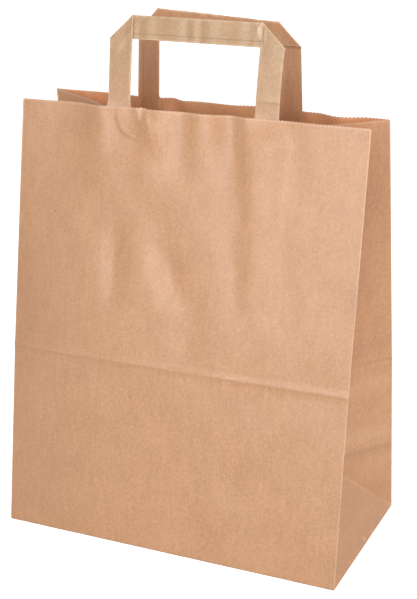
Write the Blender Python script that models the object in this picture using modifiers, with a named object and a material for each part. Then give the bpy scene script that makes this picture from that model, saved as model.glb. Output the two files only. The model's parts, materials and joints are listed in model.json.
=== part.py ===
"""Kraft paper carrier bag: a gusseted sheet with a block bottom, and two flat folded handles.

Metres, +Z up. The bag stands on its bottom flaps at z = 0, centred on the origin, with its
front wall towards -Y. Places on the sheet are given as x across a wall and as a height
measured along the paper from the bottom fold, so the folds keep the paper's own lengths.
"""
import math

import bmesh
import bpy
import numpy as np

# Thicknesses and clearances
PAPER = 0.0004
STRIP = 0.0006
PATCH = 0.0004
GLUE_GAP = 0.0003
FOLD_GAP = 0.0004
FOLD_INSET = 0.0001

# The pinked rim
TOOTH_PITCH = 0.0031
TOOTH_DEPTH = 0.0009
RIM_BAND = 0.003

# The folded sheet
BASE_WIDTH = 0.320
BASE_DEPTH = 0.170
WALL_LENGTH = 0.3905
FRONT_CREASE = 0.1675
BACK_CREASE = 0.162
WAIST_DEPTH_LEFT = 0.120
WAIST_DEPTH_RIGHT = 0.114
MOUTH_DEPTH_LEFT = 0.054
MOUTH_DEPTH_RIGHT = 0.042
TWIST = 0.0012
FLAP_OVERLAP = 0.018
GUSSET_BOW_LEFT = 0.002
GUSSET_BOW_RIGHT = -0.003
CREASE_RIDGE = 0.0008
CREASE_HALF_WIDTH = 0.0035

# Soft waves of the rim: x of the middle, half width, push into the bag, reach down the wall
FRONT_WAVES = (
    (-0.050, 0.042, 0.0032, 0.026),
    (0.070, 0.034, 0.0036, 0.026),
)
BACK_WAVES = (
    (-0.108, 0.032, -0.0024, 0.060),
    (-0.053, 0.020, -0.0060, 0.026),
    (-0.030, 0.016, 0.0030, 0.026),
    (0.016, 0.022, 0.0018, 0.026),
    (0.042, 0.026, -0.0036, 0.026),
    (0.118, 0.024, 0.0085, 0.090),
)

# Handles, seen from the front: middle, and height of the bar above the rim at each leg
STRIP_WIDTH = 0.022
HANDLE_SPAN = 0.159
FRONT_HANDLE_MIDDLE = 0.0012
FRONT_HANDLE_RISE = (0.0777, 0.0780)
BACK_HANDLE_MIDDLE = 0.0040
BACK_HANDLE_RISE = (0.0792, 0.0745)
HANDLE_LEAN = math.radians(5)
WAVE_FADE = 0.045
LEG_TAIL = 0.066

# Glued patches over the leg tails
PATCH_DROP = 0.026
PATCH_HEIGHT = 0.050
PATCH_MARGIN = 0.010
CHANNEL_SLOPE = 0.0012

# Spacing of the mesh
COLUMN_STEP = 0.018
ROW_STEP = 0.026
RIM_ROW_STEP = 0.014
GUSSET_COLUMNS = 5
BAR_STATIONS = 8

# Colours, roughness
PAPER_COLOUR = (0.644, 0.366, 0.216, 1.0)
HANDLE_COLOUR = (0.610, 0.370, 0.230, 1.0)
PATCH_COLOUR = (0.560, 0.320, 0.190, 1.0)
PAPER_ROUGHNESS = 0.82

FRONT, BACK = -1, 1
LEFT, RIGHT = -1, 1
PLY_HEIGHT = 2 * PAPER
CREASE = {FRONT: FRONT_CREASE, BACK: BACK_CREASE}
WAIST = {LEFT: WAIST_DEPTH_LEFT, RIGHT: WAIST_DEPTH_RIGHT}
MOUTH = {LEFT: MOUTH_DEPTH_LEFT, RIGHT: MOUTH_DEPTH_RIGHT}
WAVES = {FRONT: FRONT_WAVES, BACK: BACK_WAVES}
BOW = {LEFT: GUSSET_BOW_LEFT, RIGHT: GUSSET_BOW_RIGHT}
MIDDLE = {FRONT: FRONT_HANDLE_MIDDLE, BACK: BACK_HANDLE_MIDDLE}
RISE = {FRONT: FRONT_HANDLE_RISE, BACK: BACK_HANDLE_RISE}
LEG_DEPTH = PAPER + GLUE_GAP + STRIP / 2
BAR_DEPTH = LEG_DEPTH + STRIP + FOLD_GAP


def clear_scene():
    """Removes whatever the scene holds."""
    for item in list(bpy.data.objects):
        bpy.data.objects.remove(item)


def stations(required, step):
    """The required places in order, with even steps no longer than step between them."""
    places = [required[0]]
    for low, high in zip(required, required[1:]):
        count = max(1, math.ceil((high - low) / step - 1e-6))
        places += [low + (high - low) * k / count for k in range(1, count + 1)]
    return np.array(places)


def leg_edges(side):
    """Outer and inner edge of the left leg, then inner and outer edge of the right leg."""
    left = MIDDLE[side] - HANDLE_SPAN / 2
    right = MIDDLE[side] + HANDLE_SPAN / 2
    return (left, left + STRIP_WIDTH, right - STRIP_WIDTH, right)


def patch_edges(side):
    """Left and right edge of the glued patch."""
    edges = leg_edges(side)
    return edges[0] - PATCH_MARGIN, edges[3] + PATCH_MARGIN


def wall_height(base_depth, upper_depth, lower, upper, slide):
    """Rise of a corner fold between two heights on the paper, which keeps the paper's length."""
    run = (base_depth - upper_depth) / 2
    return math.sqrt((upper - lower) ** 2 - run ** 2 - slide ** 2)


def corner_knots(side, end):
    """Corner fold's points at the bottom, the end's apex height, the cross crease and the rim."""
    waist_z = PLY_HEIGHT + wall_height(BASE_DEPTH, WAIST[end], 0, CREASE[side], 2 * TWIST)
    rim_z = waist_z + wall_height(WAIST[end], MOUTH[end], CREASE[side], WALL_LENGTH, 0)
    bottom = np.array((end * BASE_WIDTH / 2 - side * TWIST, side * BASE_DEPTH / 2, PLY_HEIGHT))
    waist = np.array((end * BASE_WIDTH / 2 + side * TWIST, side * WAIST[end] / 2, waist_z))
    rim = np.array((end * BASE_WIDTH / 2 + side * TWIST, side * MOUTH[end] / 2, rim_z))
    share = (BASE_DEPTH / 2) / CREASE[side]
    return np.array((bottom, bottom + (waist - bottom) * share, waist, rim))


def fold_inset(depth):
    """How far a gusset's middle fold lies inside the side, for corner folds that far apart."""
    return math.sqrt((BASE_DEPTH / 2) ** 2 - (depth / 2) ** 2)


def middle_fold_knots(end):
    """Gusset's middle fold at its apex, the cross crease and the rim.

    The triangle below the apex is a flat piece of paper, half the base's depth high and hinged
    at the bottom. It leans in until its apex meets the folded gusset, where its height is half
    the distance between the corner folds.
    """
    front, back = corner_knots(FRONT, end), corner_knots(BACK, end)
    waist_z = (front[2][2] + back[2][2]) / 2 - PLY_HEIGHT
    closing = (BASE_DEPTH - WAIST[end]) / waist_z
    rise = (BASE_DEPTH / 2) / (1 + closing / 2)
    crease = (FRONT_CREASE + BACK_CREASE) / 2
    heights = (BASE_DEPTH / 2, crease, WALL_LENGTH)
    insets = (fold_inset(2 * rise), fold_inset(WAIST[end]), fold_inset(MOUTH[end]))
    points = [np.array((end * (BASE_WIDTH / 2 - insets[0]), 0.0, PLY_HEIGHT + rise))]
    for k in (1, 2):
        run = insets[k] - insets[k - 1]
        z = points[-1][2] + math.sqrt((heights[k] - heights[k - 1]) ** 2 - run ** 2)
        points.append(np.array((end * (BASE_WIDTH / 2 - insets[k]), 0.0, z)))
    return np.array(points)


def along(knots, level):
    """Point on a fold line at a level: 0 bottom, 1 apex, 2 cross crease, 3 rim."""
    level = np.clip(level, 0, len(knots) - 1)
    low = min(int(level), len(knots) - 2)
    return knots[low] + (knots[low + 1] - knots[low]) * (level - low)


def level_of(side, height):
    """Level of a height measured along a wall's paper from the bottom fold."""
    heights = (0.0, BASE_DEPTH / 2, CREASE[side], WALL_LENGTH)
    return float(np.interp(height, heights, (0.0, 1.0, 2.0, 3.0)))


def paper_height(side, level):
    """Height along a wall's paper at a level."""
    heights = (0.0, BASE_DEPTH / 2, CREASE[side], WALL_LENGTH)
    return float(np.interp(level, (0.0, 1.0, 2.0, 3.0), heights))


def levels():
    """Levels of the sheet's rows. Below the apex they match the gusset's columns."""
    lower = [k / GUSSET_COLUMNS for k in range(GUSSET_COLUMNS)]
    below, above = FRONT_CREASE - CREASE_HALF_WIDTH, FRONT_CREASE + CREASE_HALF_WIDTH
    middle = stations((BASE_DEPTH / 2, below, FRONT_CREASE, above), ROW_STEP)
    patch_top = WALL_LENGTH - PATCH_DROP
    patch_foot = patch_top - PATCH_HEIGHT
    tail = WALL_LENGTH - LEG_TAIL
    upper = stations((above, patch_foot), ROW_STEP)
    band = WALL_LENGTH - RIM_BAND
    rim = stations((patch_foot, tail, patch_top, band, WALL_LENGTH), RIM_ROW_STEP)
    heights = np.concatenate((middle[:-1], upper[:-1], rim))
    return np.array(lower + [level_of(FRONT, height) for height in heights])


def columns(side):
    """x of a wall's columns, which fall on the legs' and the patch's edges."""
    half = BASE_WIDTH / 2
    low, high = patch_edges(side)
    return stations((-half, low) + leg_edges(side) + (high, half), COLUMN_STEP)


def wave(side, x, height):
    """How far the wall is pushed into the bag there, as a sum of soft waves hung from the rim."""
    push = 0.0
    for middle, half_width, depth, reach in WAVES[side]:
        across = min(abs(x - middle) / half_width, 1.0)
        down = min((WALL_LENGTH - height) / reach, 1.0)
        push += depth * (math.cos(across * math.pi / 2) * math.cos(down * math.pi / 2)) ** 2
    return push


def ridge(level):
    """How far the cross crease stands out of the wall at a level."""
    distance = abs(paper_height(FRONT, level) - FRONT_CREASE)
    return CREASE_RIDGE * max(0.0, 1 - distance / CREASE_HALF_WIDTH)


def wall_nodes(side):
    """Outer face of the front or back wall: one point for each level and column."""
    left, right = corner_knots(side, LEFT), corner_knots(side, RIGHT)
    rows = []
    for level in levels():
        start, end = along(left, level), along(right, level)
        height = paper_height(side, level)
        row = []
        for x in columns(side):
            share = x / BASE_WIDTH + 0.5
            point = start + (end - start) * share
            point[1] += side * (ridge(level) - wave(side, x, height))
            row.append(point)
        rows.append(row)
    return np.array(rows)


def gusset_point(side, end, column, level):
    """Point of a gusset's front or back half, column by column from the corner fold inwards."""
    corner, fold = corner_knots(side, end), middle_fold_knots(end)
    share = column / GUSSET_COLUMNS
    if level >= 1:
        start, stop = along(corner, level), along(fold, level - 1)
        point = start + (stop - start) * share
        point[1] += side * ridge(level) * (1 - share)
        if side == BACK:
            point[1] += BOW[end] * math.sin(math.pi * share) * (level - 1) / 2
        return point
    hinge = np.array((end * BASE_WIDTH / 2, 0.0, PLY_HEIGHT))
    if share <= level:
        return corner[0] + (corner[1] - corner[0]) * level + (fold[0] - corner[1]) * share
    return corner[0] + (hinge - corner[0]) * share + (fold[0] - hinge) * level


def find_cell(places, value):
    """Index of the cell that holds value, and value's share of it, which may run past the ends."""
    index = int(np.clip(np.searchsorted(places, value) - 1, 0, len(places) - 2))
    return index, (value - places[index]) / (places[index + 1] - places[index])


def cell_point(corners, u, v):
    """Point on a cell's two triangles, which share the diagonal from low left to top right."""
    low_left, low_right, top_right, top_left = corners
    if u >= v:
        return low_left + (low_right - low_left) * u + (top_right - low_right) * v
    return low_left + (top_left - low_left) * v + (top_right - top_left) * u


class Wall:
    """A wall's outer face, with places at a depth into the bag and above the rim."""

    def __init__(self, side):
        self.side = side
        self.nodes = wall_nodes(side)
        self.rim = (corner_knots(side, LEFT)[3], corner_knots(side, RIGHT)[3])
        self.levels = levels()
        self.columns = columns(side)

    def outer(self, x, height):
        """Point on the outer face."""
        row, v = find_cell(self.levels, level_of(self.side, height))
        column, u = find_cell(self.columns, x)
        n = self.nodes
        corners = (n[row][column], n[row][column + 1], n[row + 1][column + 1], n[row + 1][column])
        return cell_point(corners, u, v)

    def inward(self, height):
        """Direction at right angles to the wall, into the bag."""
        left, right = corner_knots(self.side, LEFT), corner_knots(self.side, RIGHT)
        level = level_of(self.side, height)
        low = 2 if level > 2 else 0
        rise = (left[low + 1] - left[low]) + (right[low + 1] - right[low])
        lean = math.atan2(-self.side * rise[1], rise[2])
        return np.array((0.0, -self.side * math.cos(lean), -math.sin(lean)))

    def place(self, x, height, depth):
        """Point at a depth from the outer face.

        Above the rim it follows the handle's lean, and the rim's waves fade out.
        """
        above = max(0.0, height - WALL_LENGTH)
        height = min(height, WALL_LENGTH)
        point = self.outer(x, height)
        if above:
            straight = self.rim[0] + (self.rim[1] - self.rim[0]) * (x / BASE_WIDTH + 0.5)
            fade = max(0.0, 1 - above / WAVE_FADE) ** 2
            point = straight + (point - straight) * fade
        rise = np.array((0.0, -self.side * math.sin(HANDLE_LEAN), math.cos(HANDLE_LEAN)))
        return point + self.inward(height) * depth + rise * above


def new_material(name, colour):
    """Matt paper of one colour."""
    material = bpy.data.materials.new(name)
    material.use_nodes = True
    shader = material.node_tree.nodes["Principled BSDF"]
    shader.inputs["Base Color"].default_value = colour
    shader.inputs["Roughness"].default_value = PAPER_ROUGHNESS
    shader.inputs["Metallic"].default_value = 0.0
    material.diffuse_color = colour
    return material


def new_collection(name):
    """Collection linked to the scene."""
    collection = bpy.data.collections.new(name)
    bpy.context.scene.collection.children.link(collection)
    return collection


def new_object(name, mesh, collection):
    """Object of that mesh, linked to a collection."""
    item = bpy.data.objects.new(name, mesh)
    collection.objects.link(item)
    return item


def add_cell(bm, corners, diagonal_up=True):
    """Two triangles over a cell given as low left, low right, top right, top left."""
    low_left, low_right, top_right, top_left = corners
    if diagonal_up:
        triangles = ((low_left, low_right, top_right), (low_left, top_right, top_left))
    else:
        triangles = ((low_left, low_right, top_left), (low_right, top_right, top_left))
    for triangle in triangles:
        bm.faces.new(triangle)


def grid_mesh(name, rows):
    """Open mesh over a grid of points, rows from low to high, each from left to right."""
    bm = bmesh.new()
    grid = [[bm.verts.new(point) for point in row] for row in rows]
    for low, high in zip(grid, grid[1:]):
        for k in range(len(low) - 1):
            add_cell(bm, (low[k], low[k + 1], high[k + 1], high[k]))
    mesh = bpy.data.meshes.new(name)
    bm.to_mesh(mesh)
    bm.free()
    return mesh


def thicken(item, thickness, offset):
    """Gives an open sheet its thickness: offset -1 keeps the outer face, 0 the middle."""
    solidify = item.modifiers.new("paper thickness", "SOLIDIFY")
    solidify.thickness = thickness
    solidify.offset = offset
    solidify.use_even_offset = True
    solidify.use_quality_normals = True
    solidify.use_rim = True


def sheet_rows():
    """The sheet's outer face as rings of points, anticlockwise seen from above.

    Each ring runs along the front wall, in and out over the right gusset, back along the back
    wall and over the left gusset. The apex fold lines of the gussets fall on the columns.
    """
    front, back = wall_nodes(FRONT), wall_nodes(BACK)
    inner = range(1, GUSSET_COLUMNS)
    rings = []
    for row, level in enumerate(levels()):
        ring = list(front[row])
        ring += [gusset_point(FRONT, RIGHT, k, level) for k in inner]
        ring += [gusset_point(BACK, RIGHT, GUSSET_COLUMNS - k, level) for k in range(GUSSET_COLUMNS)]
        ring += list(back[row][::-1])
        ring += [gusset_point(BACK, LEFT, k, level) for k in inner]
        ring += [gusset_point(FRONT, LEFT, GUSSET_COLUMNS - k, level) for k in range(GUSSET_COLUMNS)]
        rings.append(ring)
    return rings


def diagonal_directions():
    """For each column of a ring, whether a cell's diagonal runs up in the ring's direction.

    The walls' cells match the handles' and patches'. On the gussets the diagonals follow the
    creases, which rise from a corner towards the middle fold.
    """
    towards_fold = [True] * GUSSET_COLUMNS
    from_fold = [False] * GUSSET_COLUMNS
    front = [True] * (len(columns(FRONT)) - 1)
    back = [False] * (len(columns(BACK)) - 1)
    return front + towards_fold + from_fold + back + towards_fold + from_fold


def teeth(bm, start, stop, top):
    """Points of the pinked edge between two of its valleys, each tooth a valley and a peak."""
    count = max(1, round((stop - start).length / TOOTH_PITCH))
    points = []
    for k in range(2 * count - 1):
        share = (k + 1) / (2 * count)
        point = start + (stop - start) * share
        if k % 2 == 0:
            point = point + top * TOOTH_DEPTH
        points.append(bm.verts.new(point))
    return points


def add_rim_cell(bm, low, valleys, points):
    """Face of the rim's band under its teeth."""
    bm.faces.new([low[0], low[1], valleys[1]] + points[::-1] + [valleys[0]])


def bag_sheet_mesh():
    """Walls, gussets and bottom ply as one open sheet of outer faces, with a pinked rim."""
    bm = bmesh.new()
    rings = [[bm.verts.new(point) for point in ring] for ring in sheet_rows()]
    directions = diagonal_directions()
    count = len(directions)
    for low, high in zip(rings[:-1], rings[1:-1]):
        for k in range(count):
            after = (k + 1) % count
            add_cell(bm, (low[k], low[after], high[after], high[k]), directions[k])
    band, rim = rings[-2], rings[-1]
    tops = [(high.co - low.co).normalized() for low, high in zip(band, rim)]
    for vertex, top in zip(rim, tops):
        vertex.co -= top * TOOTH_DEPTH
    for k in range(count):
        after = (k + 1) % count
        points = teeth(bm, rim[k].co, rim[after].co, (tops[k] + tops[after]) / 2)
        add_rim_cell(bm, (band[k], band[after]), (rim[k], rim[after]), points)
    bm.faces.new(rings[0][::-1])
    mesh = bpy.data.meshes.new("bag_body")
    bm.to_mesh(mesh)
    bm.free()
    return mesh


def slab_mesh(name, outline, bottom, top):
    """Closed slab over a flat outline, with its own height of underside at each corner."""
    bm = bmesh.new()
    low = [bm.verts.new((x, y, z)) for (x, y), z in zip(outline, bottom)]
    high = [bm.verts.new((x, y, top)) for x, y in outline]
    bm.faces.new(low[::-1])
    bm.faces.new(high)
    for k in range(len(outline)):
        after = (k + 1) % len(outline)
        bm.faces.new((low[k], low[after], high[after], high[k]))
    bmesh.ops.recalc_face_normals(bm, faces=bm.faces)
    mesh = bpy.data.meshes.new(name)
    bm.to_mesh(mesh)
    bm.free()
    return mesh


def flap_outline(side, reach, inset):
    """Trapezoid of a bottom flap, from its fold at one wall to its free edge past the middle."""
    half, depth = BASE_WIDTH / 2, BASE_DEPTH / 2
    free = depth + reach
    fold_half = half - 2 * inset
    free_half = half - free
    edge = side * (depth - inset)
    slide = -side * TWIST
    outline = [
        (slide - fold_half, edge), (slide + fold_half, edge),
        (slide + free_half, -side * reach), (slide - free_half, -side * reach),
    ]
    return outline if side == FRONT else outline[::-1]


def bottom_flaps(collection):
    """The glued layers under the bottom ply, as slabs that are joined to it.

    The gussets' ears lie in the first layer, in view as triangles at both ends. The back flap
    slopes from its fold down at the floor up to the front flap, which laps over it.
    """
    half, depth = BASE_WIDTH / 2, BASE_DEPTH / 2
    skew = TWIST
    ears = [
        (skew - half + 3 * FOLD_INSET, -depth + 3 * FOLD_INSET),
        (skew + half - 3 * FOLD_INSET, -depth + 3 * FOLD_INSET),
        (-skew + half - 3 * FOLD_INSET, depth - 3 * FOLD_INSET),
        (-skew - half + 3 * FOLD_INSET, depth - 3 * FOLD_INSET),
    ]
    into_ply = PLY_HEIGHT + PAPER / 2
    into_ears = PAPER * 1.5
    lap = FLAP_OVERLAP / 2
    front = flap_outline(FRONT, lap, FOLD_INSET)
    back = flap_outline(BACK, -lap, FOLD_INSET)
    back_bottom = [0.0 if y > depth / 2 else PAPER for x, y in back]
    slabs = (
        ("ears_layer", slab_mesh("ears_layer", ears, [PAPER] * 4, into_ply)),
        ("front_flap", slab_mesh("front_flap", front, [0.0] * 4, into_ears)),
        ("back_flap", slab_mesh("back_flap", back, back_bottom, into_ears)),
    )
    made = []
    for name, mesh in slabs:
        item = new_object(name, mesh, collection)
        item.hide_render = True
        item.display_type = "WIRE"
        made.append(item)
    return made


def make_bag_body(parts, guides):
    """The folded sheet with its bottom flaps."""
    body = new_object("bag_body", bag_sheet_mesh(), parts)
    thicken(body, PAPER, -1)
    for slab in bottom_flaps(guides):
        union = body.modifiers.new("glued " + slab.name, "BOOLEAN")
        union.operation = "UNION"
        union.solver = "EXACT"
        union.object = slab
    body.data.materials.append(new_material("kraft_paper", PAPER_COLOUR))
    return body


def leg_rungs(side, outer, inner, rise):
    """A leg's cross lines from its tail up to its folded corner, outer edge first."""
    shoulder = WALL_LENGTH + rise - STRIP_WIDTH
    heights = [paper_height(side, level) for level in levels()]
    tail = WALL_LENGTH - LEG_TAIL
    rungs = [(h, h) for h in heights if h > tail - 1e-6]
    for height in stations((WALL_LENGTH, shoulder), COLUMN_STEP)[1:-1]:
        rungs.append((height, height))
    rungs.append((shoulder - FOLD_INSET, shoulder - FOLD_INSET))
    rungs.append((shoulder, shoulder + STRIP_WIDTH))
    return [((outer, a, LEG_DEPTH), (inner, b, LEG_DEPTH)) for a, b in rungs]


def handle_rungs(side):
    """A handle's cross lines, from the left leg's tail over the bar to the right leg's tail.

    Each end of a line is x, height along the paper and depth into the bag. At each corner the
    strip turns back on itself over a fold at 45 degrees, so the bar lies behind the legs.
    """
    edges = leg_edges(side)
    left_rise, right_rise = RISE[side]
    left = leg_rungs(side, edges[0], edges[1], left_rise)
    right = leg_rungs(side, edges[3], edges[2], right_rise)
    bulge = (BAR_DEPTH - LEG_DEPTH) / 2 * math.sqrt(0.5)

    def turned(rung, outward):
        middle = (LEG_DEPTH + BAR_DEPTH) / 2
        return tuple((x + outward * bulge, height + bulge, middle) for x, height, _ in rung)

    def at_bar(rung):
        return tuple((x, height, BAR_DEPTH) for x, height, _ in rung)

    start, stop = at_bar(left[-1]), at_bar(right[-1])
    low = np.array((start[0], stop[0]))
    high = np.array((start[1], stop[1]))
    bar = []
    for share in np.linspace(0, 1, BAR_STATIONS + 1)[1:-1]:
        top = high[0] + (high[1] - high[0]) * share
        foot_share = (top[0] - low[0][0]) / (low[1][0] - low[0][0])
        bar.append((tuple(low[0] + (low[1] - low[0]) * foot_share), tuple(top)))
    return (
        left + [turned(left[-1], LEFT), start] + bar + [stop, turned(right[-1], RIGHT)] + right[::-1]
    )


def make_handle(name, side, wall, parts):
    """A flat handle: one strip, folded at its two corners."""
    rows = []
    for outer, inner in handle_rungs(side):
        middle = tuple((a + b) / 2 for a, b in zip(outer, inner))
        rows.append([wall.place(*point) for point in (outer, middle, inner)])
    item = new_object(name, grid_mesh(name, rows), parts)
    thicken(item, STRIP, 0)
    item.data.materials.append(new_material(name + "_paper", HANDLE_COLOUR))
    return item


def patch_profile(side):
    """x and depth across a patch: on the wall, and raised over each leg."""
    low, high = patch_edges(side)
    flat = PAPER + GLUE_GAP + PATCH / 2
    raised = LEG_DEPTH + STRIP / 2 + GLUE_GAP + PATCH / 2
    near, far = GLUE_GAP, GLUE_GAP + CHANNEL_SLOPE
    edges = leg_edges(side)
    profile = [(low, flat)]
    for start, stop in (edges[:2], edges[2:]):
        profile += [(start - far, flat), (start - near, raised)]
        profile += [(stop + near, raised), (stop + far, flat)]
    profile.append((high, flat))
    places = [x for x, _ in profile]
    depths = [depth for _, depth in profile]
    inside = [x for x in columns(side) if low < x < high]
    merged = sorted(places + [x for x in inside if min(abs(x - p) for p in places) > 2 * far])
    return [(x, float(np.interp(x, places, depths))) for x in merged]


def make_patch(name, side, wall, parts):
    """A glued sheet inside the wall, which holds the leg tails in two channels."""
    top = WALL_LENGTH - PATCH_DROP
    foot = top - PATCH_HEIGHT
    heights = [paper_height(side, level) for level in levels()]
    inner = [h for h in heights if foot + RIM_ROW_STEP / 4 < h < top - RIM_ROW_STEP / 4]
    rows = []
    for height in [foot] + inner + [top]:
        rows.append([wall.place(x, height, depth) for x, depth in patch_profile(side)])
    item = new_object(name, grid_mesh(name, rows), parts)
    thicken(item, PATCH, 0)
    item.data.materials.append(new_material(name + "_paper", PATCH_COLOUR))
    return item


def main():
    clear_scene()
    parts = new_collection("kraft_paper_bag")
    guides = new_collection("bottom_layers")
    make_bag_body(parts, guides)
    for word, side in (("front", FRONT), ("back", BACK)):
        wall = Wall(side)
        make_handle(word + "_handle", side, wall, parts)
        make_patch(word + "_patch", side, wall, parts)


main()
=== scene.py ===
# %% [markdown]
# # A kraft paper carrier bag
#
# The bag is one sheet of brown kraft paper. It is glued into a tube, its two sides are folded in as gussets,
# and its foot is folded shut into a flat block bottom. Two flat strips of folded paper, glued to the insides
# of the front and back walls, are its handles. It stands open, a little skewed, with a pinked rim and with
# the creases that it was packed flat along.
#
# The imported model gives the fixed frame: every piece below is worked out again from the same named sizes,
# with finer steps, so it lies where the plain solid lies. A piece made from formulas keeps the paper's own
# lengths, which is what makes folded paper look folded.

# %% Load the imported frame
import json
import math

import bpy
import numpy as np
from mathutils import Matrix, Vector

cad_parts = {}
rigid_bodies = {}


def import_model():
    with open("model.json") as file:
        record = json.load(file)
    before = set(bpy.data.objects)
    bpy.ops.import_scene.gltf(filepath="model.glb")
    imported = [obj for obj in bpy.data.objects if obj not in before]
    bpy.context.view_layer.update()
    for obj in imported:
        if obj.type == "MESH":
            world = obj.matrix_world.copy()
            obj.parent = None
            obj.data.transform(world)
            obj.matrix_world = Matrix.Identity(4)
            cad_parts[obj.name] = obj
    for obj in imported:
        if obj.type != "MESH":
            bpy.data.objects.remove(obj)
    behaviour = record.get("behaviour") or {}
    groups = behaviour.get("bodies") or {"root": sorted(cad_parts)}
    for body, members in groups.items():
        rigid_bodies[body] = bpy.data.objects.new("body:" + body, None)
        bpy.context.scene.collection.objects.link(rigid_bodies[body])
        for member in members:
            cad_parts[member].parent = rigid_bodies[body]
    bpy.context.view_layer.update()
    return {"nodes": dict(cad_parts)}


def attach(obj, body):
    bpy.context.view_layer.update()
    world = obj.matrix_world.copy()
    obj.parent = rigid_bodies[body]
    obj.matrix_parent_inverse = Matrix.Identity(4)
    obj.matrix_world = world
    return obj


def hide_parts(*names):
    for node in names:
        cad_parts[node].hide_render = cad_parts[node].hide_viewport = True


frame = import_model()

print("frame nodes:", sorted(frame["nodes"]))

# %% [markdown]
# ## Sizes of the folded sheet
#
# A folded bag is fixed by a few lengths: the base, the length of the walls along the paper, the heights at
# which it was creased across, and how far apart front and back stand at that crease and at the mouth. One
# could also sculpt the walls, but then the gussets would stretch. Here the corner folds come from the
# lengths, and everything else hangs between them.

# %% Sizes in metres
PAPER = 0.0004
STRIP = 0.0006
PATCH = 0.0004
GLUE_GAP = 0.0003
FOLD_GAP = 0.0004
BASE_WIDTH = 0.320
BASE_DEPTH = 0.170
WALL_LENGTH = 0.3905
TWIST = 0.0012
FRONT, BACK = -1, 1
LEFT, RIGHT = -1, 1
CREASE = {FRONT: 0.1675, BACK: 0.162}
WAIST = {LEFT: 0.120, RIGHT: 0.114}
MOUTH = {LEFT: 0.054, RIGHT: 0.042}
BOW = {LEFT: 0.002, RIGHT: -0.003}
PLY_HEIGHT = 2 * PAPER
print("base width, base depth and wall length, mm:", 1000 * np.array((BASE_WIDTH, BASE_DEPTH, WALL_LENGTH)))

# %% [markdown]
# ## Fold lines
#
# Four corner folds run from the bottom to the rim, and each gusset has a middle fold that starts at the
# apex of the triangle it makes over the bottom. Each fold is a chain of straight stretches between levels:
# 0 is the bottom, 1 the apex, 2 the cross crease and 3 the rim. The rise of a stretch is what is left of its
# paper length after its run to the side, by Pythagoras.

# %% Corner folds and middle folds


def rise(length, *runs):
    """Height gained over a length of paper: the root of length squared less the runs squared."""
    return math.sqrt(length ** 2 - sum(run ** 2 for run in runs))


def corner_knots(side, end):
    """Four points of a corner fold, at levels 0 to 3. Each run is half the change in depth."""
    waist_z = PLY_HEIGHT + rise(CREASE[side], (BASE_DEPTH - WAIST[end]) / 2, 2 * TWIST)
    rim_z = waist_z + rise(WALL_LENGTH - CREASE[side], (WAIST[end] - MOUTH[end]) / 2)
    x = end * BASE_WIDTH / 2
    bottom = np.array((x - side * TWIST, side * BASE_DEPTH / 2, PLY_HEIGHT))
    waist = np.array((x + side * TWIST, side * WAIST[end] / 2, waist_z))
    rim = np.array((x + side * TWIST, side * MOUTH[end] / 2, rim_z))
    apex_height = bottom + (waist - bottom) * (BASE_DEPTH / 2) / CREASE[side]
    return np.array((bottom, apex_height, waist, rim))


def middle_knots(end):
    """Three points of a gusset's middle fold, at levels 1 to 3.

    The fold lies as far inside the side as half a gusset's width allows at that depth. The flat
    triangle under the apex leans in on its hinge until its height is half the depth there.
    """
    def inset(depth):
        return math.sqrt((BASE_DEPTH / 2) ** 2 - (depth / 2) ** 2)

    waist_z = (corner_knots(FRONT, end)[2][2] + corner_knots(BACK, end)[2][2]) / 2 - PLY_HEIGHT
    apex = (BASE_DEPTH / 2) / (1 + (BASE_DEPTH - WAIST[end]) / waist_z / 2)
    heights = (BASE_DEPTH / 2, (CREASE[FRONT] + CREASE[BACK]) / 2, WALL_LENGTH)
    insets = (inset(2 * apex), inset(WAIST[end]), inset(MOUTH[end]))
    z = PLY_HEIGHT + apex
    points = [(end * (BASE_WIDTH / 2 - insets[0]), 0.0, z)]
    for k in (1, 2):
        z += rise(heights[k] - heights[k - 1], insets[k] - insets[k - 1])
        points.append((end * (BASE_WIDTH / 2 - insets[k]), 0.0, z))
    return np.array(points)


def along(knots, level, first=0):
    """Points on a fold at an array of levels, straight between its knots."""
    places = np.arange(len(knots)) + first
    return np.stack([np.interp(level, places, knots[:, axis]) for axis in range(3)], axis=-1)


def paper_height(side, level):
    """Height along the paper at a level."""
    return np.interp(level, (0, 1, 2, 3), (0.0, BASE_DEPTH / 2, CREASE[side], WALL_LENGTH))


def level_of(side, height):
    """Level at a height along the paper."""
    return np.interp(height, (0.0, BASE_DEPTH / 2, CREASE[side], WALL_LENGTH), (0, 1, 2, 3))


rim_corners = [corner_knots(s, e)[3][2] * 1000 for s in (FRONT, BACK) for e in (LEFT, RIGHT)]
print("rim corners z, mm:", np.round(rim_corners, 1))

# %% [markdown]
# ## The walls' relief
#
# Paper that was glued, packed and opened again is never flat. It waves at the rim, ripples where the
# handles pull on it, has a ridge where it was creased across, a dent beside the left leg of the front handle,
# and a slight unevenness all over. Each of these is a small height added at right angles to the wall, a
# function of the place on the sheet. That keeps the folds where they are, because the height fades to
# nothing at the corners.

# %% Waves, ripples, crease and dent
WAVES = {
    FRONT: (
        (-0.050, 0.042, 0.0032, 0.026),
        (0.070, 0.034, 0.0036, 0.026),
    ),
    BACK: (
        (-0.108, 0.032, -0.0024, 0.060),
        (-0.043, 0.015, -0.0055, 0.026),
        (-0.030, 0.016, 0.0030, 0.026),
        (0.016, 0.022, 0.0018, 0.026),
        (0.042, 0.026, -0.0036, 0.026),
        (0.118, 0.024, 0.0085, 0.090),
    ),
}
RIDGE_HEIGHT = 0.0008
RIDGE_HALF_WIDTH = 0.0035
# Unevenness of a wall: height and wavelength of the slow part, then of the fine part.
SLOW_UNEVEN = (0.00030, 0.075)
FINE_UNEVEN = (0.00006, 0.022)


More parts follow.
